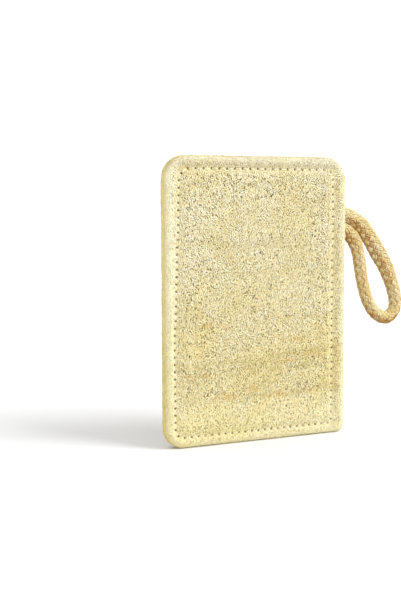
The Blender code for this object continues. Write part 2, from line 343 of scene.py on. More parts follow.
def stitchDistance(x, z):
    insets = stitching["insets"]
    left = x + pad["width"] / 2 - insets["left"] - leftShift(z)
    right = pad["width"] / 2 - insets["right"] - x
    return min(left, right, z - insets["bottom"], pad["height"] - insets["top"] - z)


def swell(x, z):
    away = abs(z - ropeSwell["level"]) - ropeSwell["halfWidth"]
    near = 1 - smoothStep(away, 0, ropeSwell["fade"])
    return ropeSwell["rise"] * near * smoothStep(x, *ropeSwell["reach"])


def halfThickness(x, z):
    inset = edgeDistance(x, z)
    rise = smoothStep(inset, pad["rimRound"], pad["faceInset"])
    face = pad["rimHalf"] + (pad["faceHalf"] - pad["rimHalf"]) * rise
    crown = pad["crown"] * smoothStep(inset, pad["faceInset"], pad["width"] / 2)
    furrow = stitching["furrow"] * math.exp(-((stitchDistance(x, z) / stitching["furrowWidth"]) ** 2))
    return face + crown - furrow + swell(x, z)


def creaseHeight(x, z, seed):
    total = 0
    size = creaseForm["scale"]
    least, change = creaseForm["strength"]
    for crease in creases:
        spot = Vector((x, crease["level"] * creaseForm["spread"], seed * size)) / size
        away = z - crease["level"] - crease["slope"] * x - creaseForm["wander"] * noise.noise(spot)
        strength = least + change * noise.noise(spot + Vector((creaseForm["shift"], 0, 0)))
        total -= crease["depth"] * strength * math.exp(-((away / creaseForm["width"]) ** 2))
    return total


def warmth(x, z, name):
    total = 0
    for markX, markZ, halfWide, halfHigh, strength in pressMarks[name]:
        away = ((x - markX) / halfWide) ** 2 + ((z - markZ) / halfHigh) ** 2
        total = max(total, strength * math.exp(-away))
    return total


def creaseShadeAt(x, z, seed):  # how far painted shade shows along the creases, in broken runs
    total = 0
    least, change = creaseShadeForm["strength"]
    for crease in creases:
        away = z - crease["level"] - crease["slope"] * x
        spot = Vector((x, crease["level"] * creaseShadeForm["spread"], seed * creaseShadeForm["seed"]))
        patch = min(max(least + change * noise.noise(spot / creaseShadeForm["scale"]), 0), 1)
        total = max(total, patch * abs(crease["depth"]) * math.exp(-((away / creaseShadeForm["width"]) ** 2)))
    return total


def pitchAt(point):  # length of the stitches on the side where the point is
    if point.y > pad["height"] - stitching["rowReach"] * stitching["insets"]["top"]:
        return stitching["pitches"]["top"]
    if point.y < stitching["rowReach"] * stitching["insets"]["bottom"]:
        return stitching["pitches"]["bottom"]
    return stitching["pitches"]["left" if point.x < 0 else "right"]


def resample(points, count, closed, pace=lambda point: 1.0):  # even steps, or steps that follow the pace
    line = list(points) + ([points[0]] if closed else [])
    reach = [0.0]
    for before, after in zip(line, line[1:]):
        reach.append(reach[-1] + (after - before).length / pace(before))
    parts = count if closed else count - 1
    found = []
    index = 0
    for i in range(count):
        target = reach[-1] * i / parts
        while index < len(line) - 2 and reach[index + 1] < target:
            index += 1
        share = (target - reach[index]) / (reach[index + 1] - reach[index])
        found.append(line[index].lerp(line[index + 1], share))
    return found


def lineLength(points):
    return sum((after - before).length for before, after in zip(points, points[1:]))


def makeStitchLine():
    line = []
    start, end = (pad["width"] / 2 - away for away in stitching["wanderFade"])
    for point, _ in outline(stitching["insets"], stitching["step"], stitching["arcStep"]):
        line.append(point + Vector((leftShift(point.y) * smoothStep(-point.x, start, end), 0)))
    return line


stitchLine = makeStitchLine()
stitchRuns = zip(stitchLine, stitchLine[1:] + stitchLine[:1])
stitchCount = round(sum((after - before).length / pitchAt(before) for before, after in stitchRuns))
holeSpots = resample(stitchLine, stitchCount, True, pitchAt)


def makeObject(name, points, faces, material, attributes=None):
    mesh = bpy.data.meshes.new(name)
    mesh.from_pydata([tuple(c * mm for c in point) for point in points], [], faces)
    body = bmesh.new()
    body.from_mesh(mesh)
    bmesh.ops.recalc_face_normals(body, faces=body.faces)
    body.to_mesh(mesh)
    body.free()
    mesh.shade_smooth()
    for key, values in (attributes or {}).items():
        mesh.attributes.new(key, "FLOAT", "POINT").data.foreach_set("value", values)
    mesh.materials.append(material)
    made = bpy.data.objects.new(name, mesh)
    scene.collection.objects.link(made)
    return made


# Materials of the loofah, the thread and the rope
loofahColours = {
    "pale": colour(252, 252, 240),
    "cream": colour(249, 243, 213),
    "straw": colour(236, 228, 186),
    "olive": colour(176, 160, 94),
    # This colour and the pore colour after it are painted shade: the mat seen between the fibres, darker
    # still in the pores
    "gap": colour(190, 170, 104),
    "poreShade": colour(84, 68, 24),
    "orange": colour(200, 156, 60),
    "green": colour(240, 228, 158),
    "rim": colour(236, 228, 194),
    # Painted shade in the stitch holes and on the fibres next to them
    "holeShade": colour(66, 44, 12),
    # Painted shade on the rounded sides of the sheets
    "sideShade": colour(234, 214, 134),
    # Multiplied in at the top, the bottom and the right edge of each sheet: painted shade
    "paintedEdgeShade": (0.81, 0.80, 0.79, 1.0),
}
loofahScales = {"mat": 900, "broad": 38, "fine": 420, "pores": 1800, "hair": 5200}


def loofahMaterial(name, fibres, tone):  # for a mat with painted shade between the fibres and in its pores, or for the fibres on it
    material, tree, shader, place = startMaterial(name)
    tint = attribute(tree, "tint") if fibres else pattern(tree, place, loofahScales["mat"])
    rim = attribute(tree, "rim")
    across, _, up = place.parts()
    broad = pattern(tree, place, loofahScales["broad"], 3.0)
    fine = pattern(tree, place, loofahScales["fine"])
    stops = [(0.0, loofahColours["olive"]), (0.2, loofahColours["straw"])]
    stops += [(0.4, loofahColours["cream"]), (0.75, loofahColours["pale"])]
    share = tint * 0.9 + broad * 0.15 + fine * 0.05 - 0.03
    base = node(tree, "ShaderNodeValToRGB", {"stops": stops}, {0: share})
    base = mixColours(broad.ramp(0.35, 0.62, 0.35, 0.0), base, loofahColours["green"])
    x, z = across * (1 / mm), up * (1 / mm)  # the ramps below are in millimetres
    # Painted shade on the mat: darker where it shows between the fibres, darker still in the pores; less near
    # the bottom, on the rim and along the stitch row
    if not fibres:
        calm = z.ramp(14, 28, 0.25, 0.0).most(rim * 0.45)
        pores = pattern(tree, place, loofahScales["pores"], 0.0).ramp(0.54, 0.6)
        base = mixColours(0.75 - calm, base, loofahColours["gap"])
        base = mixColours(pores * (1 - calm.most(attribute(tree, "row") * 0.9)), base, loofahColours["poreShade"])
    marks = (
        # darker olive along the creases: painted crease shade
        (attribute(tree, "press") * (1.1 - tint * 0.8), "olive", "MIX"),
        (attribute(tree, "warm") * (1.25 - tint * 1.1), "orange", "MIX"),
        (rim * 0.4, "rim", "MIX"),
        (attribute(tree, "side") * 0.6, "sideShade", "MIX"),
        # painted shade in the stitch holes, fainter towards the right edge
        (attribute(tree, "holeShade") * x.ramp(28, 42, 1.0, 0.6), "holeShade", "MIX"),
        # painted shade on the top, the bottom and the right edge, to tone them down
        (z.ramp(131, 137).most(z.ramp(3, 12, 0.2, 0.0)).most(x.ramp(39, 44, 0.0, 0.4)), "paintedEdgeShade", "MULTIPLY"),
    )
    for amount, key, blend in marks:
        base = mixColours(amount, base, loofahColours[key], blend)
    base = mixColours(z.ramp(15, 120, 1.0, 0.0), base, tone, "MULTIPLY")
    finishMaterial(tree, shader, base, 0.85, pattern(tree, place, loofahScales["hair"]), 0.08)
    return material


def threadMaterial():
    material, tree, shader, place = startMaterial("sewingThread")
    ply = (attribute(tree, "lay") * 6.0).wave() * 0.5 + 0.5
    base = mixColours(ply * 0.4, colour(240, 230, 190), colour(220, 206, 156))
    # painted shade on the thread where it dips into a hole
    base = mixColours(attribute(tree, "deep"), base, colour(92, 66, 30))
    finishMaterial(tree, shader, base, 0.7, ply + pattern(tree, place, 6000, 1.0), 0.06)
    return material


def ropeMaterial(name, core):
    material, tree, shader, place = startMaterial(name)
    shade = attribute(tree, "shade").ramp(0.12, 0.82)
    broad = pattern(tree, place, 160)
    ply = (attribute(tree, "lay") * 5.5).wave() * 0.5 + 0.5
    base = mixColours(attribute(tree, "tint"), colour(222, 212, 178), colour(202, 178, 110))
    base = mixColours(ply * 0.4, base, colour(170, 138, 66))
    base = mixColours(shade * (broad.ramp(0.3, 0.7) * 0.3 + 0.7), base, colour(148, 96, 16))
    # The core is darkened in patches: painted shade inside the braid, seen between the yarns
    if core:
        base = mixColours(broad.ramp(0.0, 0.1), base, colour(132, 76, 14))
    finishMaterial(tree, shader, base, 0.8, ply + pattern(tree, place, 5000) * 0.8, 0.08)
    return material


frontTone = (0.97, 0.95, 0.83, 1.0)
backTone = (0.94, 0.92, 0.80, 1.0)
materials = {
    "frontMat": loofahMaterial("frontMat", False, frontTone),
    "frontFibre": loofahMaterial("frontFibre", True, frontTone),
    "backMat": loofahMaterial("backMat", False, backTone),
    "backFibre": loofahMaterial("backFibre", True, backTone),
    "thread": threadMaterial(),
    "rope": ropeMaterial("ropeYarn", False),
    "ropeCore": ropeMaterial("ropeCore", True),
}
print("materials ready")


# Cotton rope loop: route points from its upper end in the seam, down and round to its lower end
rope = {
    "diameter": 6.5,
    "length": 149.5,
    "exit": (49, 0, 111.7),
    "step": 0.5,
    "pathStep": 3.9,
    "width": (
        (0, 7.4),
        (0.08, 8.0),
        (0.165, 8.8),
        (0.28, 9.6),
        (0.34, 8.9),
        (0.42, 7.8),
        (0.5, 7.0),
        (0.72, 6.8),
        (0.8, 7.3),
        (0.88, 8.2),
        (1, 7.0),
    ),
    "depth": ((0, 4.4), (0.12, 4.7), (0.28, 4.9), (0.45, 5.8), (0.85, 5.8), (0.93, 4.9), (1, 4.4)),
    "carriers": 6,
    "ends": 3,
    "yarnRadius": 0.42,
    "crossing": 0.40,
    "turn": 0.235,  # radians round the rope for each millimetre along it
    "yarnGap": 0.31,  # of the room of one carrier
    "yarnFlat": 1.15,
    "wander": (0.05, 0.9),
    "swell": (0.08, 2.1),
    "phases": 7,  # range of the random start of each wave, in radians
    "sinkSpread": 0.05,
    "carrierTint": 0.5,
    "yarnTint": 0.4,
    "underside": (-0.75, 0.35),
    "undersideShare": 0.6,
    "sides": 5,
    "coreStep": 2.0,
    "coreSides": 16,
    "grooveClear": 0.35,
    "grooveRings": 9,
}
ropeRoute = (
    (37.5, 0.0, 113.2),
    (42.0, 0.0, 113.0),
    (46.5, 0.0, 112.5),
    (50.8, 0.0, 111.3),
    (55.1, -0.1, 109.3),
    (60.3, -0.3, 105.8),
    (65.1, -0.5, 99.9),
    (69.4, -0.7, 93.2),
    (75.2, -0.9, 84.1),
    (79.1, -1.0, 74.7),
    (81.1, -1.0, 67.2),
    (80.2, -1.0, 61.0),
    (75.2, -0.9, 57.7),
    (69.1, -0.8, 60.5),
    (65.2, -0.6, 65.7),
    (62.8, -0.5, 71.3),
    (61.0, -0.4, 78.0),
    (59.9, -0.3, 84.5),
    (58.9, -0.2, 90.8),
    (57.1, -0.1, 96.5),
    (54.6, 0.0, 100.4),
    (50.9, 0.0, 103.2),
    (46.5, 0.0, 104.8),
    (42.0, 0.0, 105.4),
    (37.5, 0.0, 105.6),
)


def smoothRoute(step):
    knots = [Vector(point) for point in ropeRoute]
    ends = [2 * knots[0] - knots[1]] + knots + [2 * knots[-1] - knots[-2]]
    fine = []
    for before, start, end, after in zip(ends, ends[1:], ends[2:], ends[3:]):
        for i in range(12):
            t = i / 12
            bend = (2 * before - 5 * start + 4 * end - after) * t**2
            twist = (3 * start - before - 3 * end + after) * t**3
            fine.append(0.5 * (2 * start + (end - before) * t + bend + twist))
    fine.append(knots[-1])
    return resample(fine, round(lineLength(fine) / step) + 1, False)


def ropeFrames(step):  # middle, axis across the loop's plane, axis out of it, half width and half depth
    route = smoothRoute(step)
    total = len(route) - 1
    frames = []
    for i, middle in enumerate(route):
        ahead = (route[min(i + 1, total)] - route[max(i - 1, 0)]).normalized()
        wide = ahead.cross(Vector((0, 1, 0))).normalized()
        deep = wide.cross(ahead).normalized()
        share = i / total
        frames.append((middle, wide, deep, along(share, rope["width"]) / 2, along(share, rope["depth"]) / 2))
    return frames


def tubeFaces(rings, sides, first=0, closed=False):  # with end caps, or closed to a ring
    faces = []
    for ring in range(rings if closed else rings - 1):
        here = first + sides * ring
        there = first + sides * ((ring + 1) % rings)
        for corner in range(sides):
            after = (corner + 1) % sides
            faces.append((here + corner, here + after, there + after, there + corner))
    if not closed:
        faces.append(tuple(range(first, first + sides)))
        faces.append(tuple(range(first + sides * (rings - 1), first + sides * rings)))
    return faces


def yarnCourse(columns, reach, family, start, offset, draw):  # middle line, outward side, flank and weave
    middles, wides, deeps, halfWide, halfDeep = columns
    size, rate = rope["wander"]
    angle = start + offset + family * rope["turn"] * reach
    angle = angle + size * np.sin(reach * rate + draw.random() * rope["phases"])
    weave = family * np.cos(rope["carriers"] * (rope["turn"] * reach + family * offset / 2))
    sink = rope["yarnRadius"] + rope["crossing"] - rope["crossing"] * weave
    sink = sink + rope["sinkSpread"] * draw.uniform(-1, 1)
    a, b = (halfWide - sink) * np.cos(angle), (halfDeep - sink) * np.sin(angle)
    line = middles + wides * a[:, None] + deeps * b[:, None]
    ahead = np.gradient(line, axis=0)
    ahead /= np.linalg.norm(ahead, axis=1)[:, None]
    out = line - middles
    out -= ahead * (out * ahead).sum(1)[:, None]
    out /= np.linalg.norm(out, axis=1)[:, None]
    return line, out, np.cross(ahead, out), weave


def yarnPoints(line, out, flank, radius):
    points = []
    for middle, outward, aside, size in zip(line, out, flank, radius):
        for corner in range(rope["sides"]):
            turn = math.tau * (corner + 0.25) / rope["sides"]
            reach = outward * math.cos(turn) + aside * math.sin(turn) * rope["yarnFlat"]
            points.append(middle + size * reach)
    return points


def makeRope():  # two families of yarns, wound opposite ways and passing over and under each other
    columns = [np.array(column) for column in zip(*ropeFrames(rope["step"]))]
    sides, under, count = rope["sides"], rope["undersideShare"], len(columns[0])
    reach = np.arange(count) * rope["step"]
    draw = random.Random(5)
    points, faces, tints, lays, shades = [], [], [], [], []
    spacing = math.tau / rope["carriers"]
    yarns = [(family, carrier) for family in (1, -1) for carrier in range(rope["carriers"])]
    for family, carrier in yarns:
        tone = draw.random() * rope["carrierTint"]
        for end in range(rope["ends"]):
            offset = (end - (rope["ends"] - 1) / 2) * spacing * rope["yarnGap"]
            line, out, flank, weave = yarnCourse(columns, reach, family, carrier * spacing, offset, draw)
            size, rate = rope["swell"]
            swelling = size * np.sin(reach * rate + draw.random() * rope["phases"])
            faces += tubeFaces(count, sides, len(points))
            points += yarnPoints(line, out, flank, rope["yarnRadius"] * (1 + swelling))
            for place, outward, over in zip(reach, out, weave):
                shade = under * (1 - smoothStep(float(outward[2]), *rope["underside"]))
                shades += [shade + (1 - under) * (1 - over) / 2] * sides
                lays += [place] * sides
            tints += [tone + draw.random() * rope["yarnTint"]] * (count * sides)
    attributes = {"tint": tints, "lay": lays, "shade": shades}
    return makeObject("rope_braid", points, faces, materials["rope"], attributes)


def ovalTube(name, frames, grow, turn):  # a smooth tube, so much wider all round than the rope
    sides = rope["coreSides"]
    points = []
    for middle, wide, deep, halfWide, halfDeep in frames:
        for corner in range(sides):
            angle = math.tau * (corner + turn) / sides
            a, b = (halfWide + grow) * math.cos(angle), (halfDeep + grow) * math.sin(angle)
            points.append(middle + wide * a + deep * b)
    return makeObject(name, points, tubeFaces(len(frames), sides), materials["ropeCore"])


coarseFrames = ropeFrames(rope["coreStep"])
ropeBraid = makeRope()
ropeCore = ovalTube("rope_core", coarseFrames, -2 * rope["yarnRadius"] - rope["crossing"], 0)
print("rope:", len(ropeBraid.data.polygons), "faces")


# Sheets: each is a closed pressed mat with a face, a rounded edge, the stitch holes and the rope's grooves
sheetForm = {
    "spacing": 1.25,
    "rimSpacing": 1.25,
    "arcStep": 3.75,
    "turns": (12, 24, 36, 48, 60, 72, 84, 90),
    # sideTurns: turn of the rim, in degrees, where the painted side shade starts and where it is full
    "sideTurns": (50, 90),
    "rimTint": (1.0, 6.0),
    "rowTint": 1.8,
    "lumps": (0.16, 4.5),
    "grain": (0.08, 1.5),
    "jitter": 0.25,
    "rowCalm": (1.5, 5),
    "rowLumps": 0.35,
    "sink": 0.15,
    "rimSink": 0.15,
    "merge": 0.02,
    "leastArea": 1e-4,
}
sheets = {"front": {"side": -1, "seed": 11, "draw": 3}, "back": {"side": 1, "seed": 42, "draw": 9}}


def lumps(x, z, seed):  # low unevenness of two sizes
    total = 0
    for height, size in (sheetForm["lumps"], sheetForm["grain"]):
        total += height * noise.noise(Vector((x, z, seed * size)) / size)
    return total


def makeFace(rim, seed, drawSeed):  # points, triangles, the points on the rim and how much painted shade each point gets in and round the stitch holes
    draw = random.Random(drawSeed)
    spots = [point for point, _ in rim]
    drops = {}
    holes = {}
    rings = (
        (stitching["holeMouth"], 0, 0.0),
        (stitching["holeRadius"], stitching["edgeDrop"], stitching["edgeDark"]),
    )
    sides = 6
    for middle in holeSpots:
        for radius, drop, dark in rings:
            for i in range(sides):
                angle = math.tau * i / sides
                drops[len(spots)] = -drop
                holes[len(spots)] = dark
                spots.append(middle + radius * Vector((math.cos(angle), math.sin(angle))))
        drops[len(spots)] = -stitching["holeDepth"]
        holes[len(spots)] = 1.0
        spots.append(middle)
    centres = np.array([tuple(spot) for spot in holeSpots])
    step, jitter = sheetForm["spacing"], sheetForm["jitter"]
    clear = stitching["holeGap"] * stitching["holeMouth"]
    for row in range(int(pad["height"] / step) + 1):
        for column in range(int(pad["width"] / step) + 1):
            x = (column + 0.5 * (row % 2)) * step - pad["width"] / 2 + draw.uniform(-jitter, jitter)
            z = row * step + draw.uniform(-jitter, jitter)
            if edgeDistance(x, z) < pad["rimRound"] + 0.5 * step:
                continue
            if np.hypot(centres[:, 0] - x, centres[:, 1] - z).min() > clear:
                spots.append(Vector((x, z)))
    loop = list(range(len(rim)))
    filled = geometry.delaunay_2d_cdt(spots, [], [loop], 1, sheetForm["merge"], True)
    flat, _, triangles, sources, _, _ = filled
    points = []
    dark = []
    place = {}
    for i, (spot, origin) in enumerate(zip(flat, sources)):
        x, z = spot
        height = halfThickness(x, z) - sheetForm["sink"]
        inside = smoothStep(stitchDistance(x, z), *sheetForm["rowCalm"])
        lumpy = sheetForm["rowLumps"] + (1 - sheetForm["rowLumps"]) * inside
        height += inside * creaseHeight(x, z, seed) + lumps(x, z, seed) * lumpy
        height += next((drops[s] for s in origin if s in drops), 0)
        points.append((x, z, height))
        dark.append(next((holes[s] for s in origin if s in holes), 0.0))
        for s in origin:
            if s < len(rim):
                place[s] = i
    ring = [place[i] for i in range(len(rim))]
    kept = []
    for triangle in triangles:
        a, b, c = (flat[i] for i in triangle)
        thin = abs((b - a).cross(c - a)) / 2 < sheetForm["leastArea"]
        if not (thin and set(triangle) <= set(ring)):
            kept.append(tuple(triangle))
    return points, kept, ring, dark


def makeSheet(name):
    sheet = sheets[name]
    side, seed = sheet["side"], sheet["seed"]
    rimRound = pad["rimRound"] - sheetForm["rimSink"]
    insets = dict.fromkeys(stitching["insets"], pad["rimRound"])
    rim = outline(insets, sheetForm["rimSpacing"], sheetForm["arcStep"])
    face, faces, ring, holes = makeFace(rim, seed, sheet["draw"])
    points = [(x, side * height, z) for x, z, height in face]
    # Share of painted side shade at each point: none on the face, rising round the rim
    sideShade = [0.0] * len(points)
    rows = [("round", math.radians(degrees)) for degrees in sheetForm["turns"]]
    rows += [(part, math.pi / 2) for part in ("flank", "lip", "seam")]
    before = ring
    for part, turn in rows:
        row = []
        out = rimRound - pad["seamLipDepth"] if part == "seam" else rimRound * math.sin(turn)
        for point, normal in rim:
            spotNoise = Vector((*point, seed * pad["rimWaveScale"])) / pad["rimWaveScale"]
            wave = pad["rimWave"] * noise.noise(spotNoise)
            wave *= smoothStep(point.y, *pad["baseFlat"]) * out / rimRound
            spot = point + (out + wave) * normal
            sideHalf = pad["sideHalf"] + swell(*spot)
            levels = {
                "round": sideHalf + (pad["rimHalf"] - pad["sideHalf"] - sheetForm["sink"]) * math.cos(turn),
                "flank": (sideHalf + pad["seamLip"]) / 2,
                "lip": pad["seamLip"],
                "seam": pad["clearance"] / 2,
            }
            row.append(len(points))
            points.append((spot.x, side * levels[part], spot.y))
            sideShade.append(smoothStep(math.degrees(turn), *sheetForm["sideTurns"]))
        for i in range(len(row)):
            after = (i + 1) % len(row)
            faces.append((before[i], before[after], row[after], row[i]))
        before = row
    faces.append(tuple(before))
    holes = holes + [0.0] * (len(points) - len(holes))
    rims = [1 - smoothStep(edgeDistance(x, z), *sheetForm["rimTint"]) for x, _, z in points]
    warms = [warmth(x, z, name) for x, _, z in points]
    creaseShades = [creaseShadeAt(x, z, seed) for x, _, z in points]
    nearRow = [math.exp(-((stitchDistance(x, z) / sheetForm["rowTint"]) ** 2)) for x, _, z in points]
    attributes = {"holeShade": holes, "side": sideShade, "rim": rims, "warm": warms, "press": creaseShades, "row": nearRow}
    return makeObject(name + "_mat", points, faces, materials[name + "Mat"], attributes)


def cutGrooves(sheet):
    for name, frames in (("upperGroove", coarseFrames), ("lowerGroove", coarseFrames[::-1])):
        cutter = ovalTube(name, frames[: rope["grooveRings"]], rope["grooveClear"], 0.5)
        cut = sheet.modifiers.new(name, "BOOLEAN")
        cut.operation = "DIFFERENCE"
        cut.object = cutter
        applyModifiers(sheet)
        bpy.data.objects.remove(cutter)


def applyModifiers(item):  # the evaluated mesh takes the place of the modifiers
    graph = bpy.context.evaluated_depsgraph_get()
    mesh = bpy.data.meshes.new_from_object(item.evaluated_get(graph))
    item.modifiers.clear()
    item.data = mesh


mats = {name: makeSheet(name) for name in sheets}
for mat in mats.values():
    cutGrooves(mat)
print("mats:", [len(mat.data.polygons) for mat in mats.values()])


# Fibres: short curved strands laid over each mat in a swirling direction, ends tucked in, clear of the holes
fibreLayers = {
    "deep": {
        "spacing": 0.825,
        "length": (1.3, 2.8),
        "radius": 0.155,
        "lift": (-0.15, 0.08),
        "rise": 0.10,
        "seed": 1,
    },
    "top": {
        "spacing": 0.785,
        "length": (1.0, 2.1),
        "radius": 0.148,
        "lift": (0.06, 0.25),
        "rise": 0.12,
        "seed": 2,
    },
}
fibreForm = {
    "tries": 5.0,  # candidate points in a square millimetre, thinned out to the spacing of the layer
    "outward": -0.5,  # faces turned further inward than this, or further down, get no fibres
    "downward": -0.9,
    "points": 3,
    "thickness": (0.78, 1.18),
    "thinEnds": 0.5,
    "swirlSize": 9.0,
    "swirlTurn": 2.0,
    "spread": 0.85,
    "wiggle": 0.16,
    "wiggleSize": 1.8,
    "wiggleShift": (31.0, 17.0, 53.0),
    "tuck": 0.22,
    "holeClear": 0.55,
    "holeRing": 0.62,
    # near and far distance from the middle of a hole, and the strength at each
    "roundHole": (1.0, 1.5, 6.0, 0.0),
    "besideHole": (0.5, 1.5, 1.0, 0.0),
    # darkHole: painted shade on the fibres next to a hole
    "darkHole": (0.4, 0.75, 0.7, 0.0),
    "leastGap": 0.05,
    "floorGap": 0.25,
    "seamDrop": 0.15,
    "rimCalm": 0.1,
}


def makeHolePoints(side):
    points = [(spot.x, side * halfThickness(*spot), spot.y) for spot in holeSpots]
    mesh = bpy.data.meshes.new("holePoints")
    mesh.from_pydata([tuple(c * mm for c in point) for point in points], [], [])
    made = bpy.data.objects.new("holePoints", mesh)
    scene.collection.objects.link(made)
    return made


def fibreTree():
    tree = bpy.data.node_groups.new("fibreMat", "GeometryNodeTree")
    face = tree.interface
    face.new_socket("Geometry", in_out="INPUT", socket_type="NodeSocketGeometry")
    names = ("Spacing", "Shortest", "Longest", "Radius", "Low", "High", "Rise", "Hole Clear", "Side")
    for name in names:
        face.new_socket(name, in_out="INPUT", socket_type="NodeSocketFloat")
    face.new_socket("Seed", in_out="INPUT", socket_type="NodeSocketInt")
    face.new_socket("Holes", in_out="INPUT", socket_type="NodeSocketObject")
    face.new_socket("Material", in_out="INPUT", socket_type="NodeSocketMaterial")
    face.new_socket("Geometry", in_out="OUTPUT", socket_type="NodeSocketGeometry")
    start = tree.nodes.new("NodeGroupInput")

    def given(name):
        return Wire(tree, start.outputs[name])

    def make(kind, settings=None, inputs=None, output=0):
        return node(tree, kind, settings, inputs, output)

    def chance(low, high, salt):
        values = {2: low, 3: high, 8: given("Seed") + salt}
        return make("FunctionNodeRandomValue", {"data_type": "FLOAT"}, values, 1)

    def keep(points, name, value):
        return make("GeometryNodeStoreNamedAttribute", {"data_type": "FLOAT"}, {0: points, 2: name, 3: value})

    def named(name):
        return make("GeometryNodeInputNamedAttribute", {"data_type": "FLOAT"}, {0: name})

    def fromHole(spot):  # the way to a spot from the hole that is nearest to it
        holes = make("GeometryNodeObjectInfo", {}, {"Object": given("Holes")}, "Geometry")
        near = {"Geometry": holes, "Sample Position": spot}
        return spot - make("GeometryNodeProximity", {"target_element": "POINTS"}, near, "Position")

    # points scattered over the outer side of the mat, none in a hole
    body = given("Geometry")
    place = make("GeometryNodeInputPosition")
    _, facing, downward = make("GeometryNodeInputNormal").parts()
    outer = (facing * given("Side")).maths("GREATER_THAN", fibreForm["outward"])
    outer = outer * downward.maths("GREATER_THAN", fibreForm["downward"])
    scatter = {"Mesh": body, "Selection": outer, "Distance Min": given("Spacing"), "Seed": given("Seed")}
    scatter["Density Max"] = fibreForm["tries"] / mm**2
    kind = "GeometryNodeDistributePointsOnFaces"
    dots = make(kind, {"distribute_method": "POISSON"}, scatter, "Points")
    upright = Wire(tree, dots.socket.node.outputs["Normal"])
    gap = fromHole(place)
    crowded = gap.size().maths("LESS_THAN", fibreForm["holeRing"] * mm)
    dots = make("GeometryNodeDeleteGeometry", {"domain": "POINT"}, {0: dots, 1: crowded})
    for name in ("rim", "side", "warm", "press"):
        dots = keep(dots, name, named(name))
    dots = keep(dots, "tint", chance(0.0, 1.0, 11))
    dots = keep(dots, "lift", chance(given("Low"), given("High"), 12))
    dots = keep(dots, "swell", chance(*fibreForm["thickness"], 13))
    # one short line at each point, lying along the swirl and bent round the holes
    swirl = pattern(tree, place, 1 / (fibreForm["swirlSize"] * mm), 1.0) - 0.5
    angle = swirl * (2 * fibreForm["swirlTurn"])
    angle = angle + chance(-fibreForm["spread"], fibreForm["spread"], 14) + math.pi / 2
    heading = make("ShaderNodeCombineXYZ", {}, {0: angle.maths("COSINE"), 2: angle.maths("SINE")})
    around = make("ShaderNodeVectorMath", {"operation": "CROSS_PRODUCT"}, {0: gap * (1 / mm), 1: upright})
    heading = heading + around * joined((gap.size() * (1 / mm)).ramp(*fibreForm["roundHole"]))
    axes = {"primary_axis": "Z", "secondary_axis": "X"}
    turned = make("FunctionNodeAxesToRotation", axes, {0: upright, 1: heading})
    strand = make("GeometryNodeCurvePrimitiveLine", {}, {"Start": (-0.5, 0, 0), "End": (0.5, 0, 0)})
    strand = {"Curve": strand, "Count": fibreForm["points"]}
    strand = make("GeometryNodeResampleCurve", {"mode": "COUNT"}, strand)
    length = chance(given("Shortest"), given("Longest"), 15)
    stretch = make("ShaderNodeCombineXYZ", {}, {0: length, 1: 1.0, 2: 1.0})
    placed = {"Points": dots, "Instance": strand, "Rotation": turned, "Scale": stretch}
    strands = make("GeometryNodeInstanceOnPoints", {}, placed)
    strands = make("GeometryNodeRealizeInstances", {}, {0: strands})
    # each line wanders sideways, keeps clear of the holes and follows the mat
    toEnds = (make("GeometryNodeSplineParameter") * 2 - 1).maths("ABSOLUTE")
    tip = toEnds**2
    apart = joined(named("tint")) * fibreForm["wiggleShift"]
    apart = apart + place * (1 / (fibreForm["wiggleSize"] * mm))
    drift = pattern(tree, apart, 1.0, 0.0, "Color") - (0.5, 0.5, 0.5)
    path = place + drift * (2 * fibreForm["wiggle"] * mm)
    gap = fromHole(path)
    push = (given("Hole Clear") - gap.size()).most(0.0) / gap.size().most(fibreForm["leastGap"] * mm)
    path = path + gap * joined(push)
    near = {"Geometry": body, "Sample Position": path}
    surface = make("GeometryNodeProximity", {"target_element": "FACES"}, near, "Position")
    near = {"Mesh": body, "Value": make("GeometryNodeInputNormal"), "Sample Position": path}
    normal = make("GeometryNodeSampleNearestSurface", {"data_type": "FLOAT_VECTOR"}, near)
    normal = make("ShaderNodeVectorMath", {"operation": "NORMALIZE"}, {0: normal})
    away = gap.size() * (1 / mm)
    height = (named("lift") + (1 - tip) * given("Rise")) * (1 - named("rim") * fibreForm["rimCalm"])
    height = height - tip * tip * (fibreForm["tuck"] * mm)
    height = height - away.ramp(*fibreForm["besideHole"]) * (fibreForm["seamDrop"] * mm)
    settled = (surface + normal * joined(height)).maths("MAXIMUM", (-1.0, -1.0, fibreForm["floorGap"] * mm))
    strands = make("GeometryNodeSetPosition", {}, {"Geometry": strands, "Position": settled})
    # painted shade on the fibres next to the holes
    strands = keep(strands, "holeShade", away.ramp(*fibreForm["darkHole"]))
    thickness = given("Radius") * named("swell") * (1 - toEnds**3 * fibreForm["thinEnds"])
    # the lines become three-sided tubes
    ring = make("GeometryNodeCurvePrimitiveCircle", {"mode": "RADIUS"}, {"Resolution": 3, "Radius": 1.0})
    tubes = {"Curve": strands, "Profile Curve": ring, "Scale": thickness, "Fill Caps": True}
    tubes = make("GeometryNodeCurveToMesh", {}, tubes)
    tubes = make("GeometryNodeSetShadeSmooth", {}, {0: tubes})
    tubes = make("GeometryNodeRealizeInstances", {}, {0: tubes})
    tubes = make("GeometryNodeSetMaterial", {}, {"Geometry": tubes, "Material": given("Material")})
    finish = tree.nodes.new("NodeGroupOutput")
    tree.links.new(tubes.socket, finish.inputs["Geometry"])
    return tree


def joined(value):  # a number as a vector of three equal parts
    return node(value.tree, "ShaderNodeCombineXYZ", {}, {0: value, 1: value, 2: value})


fibreNodes = fibreTree()


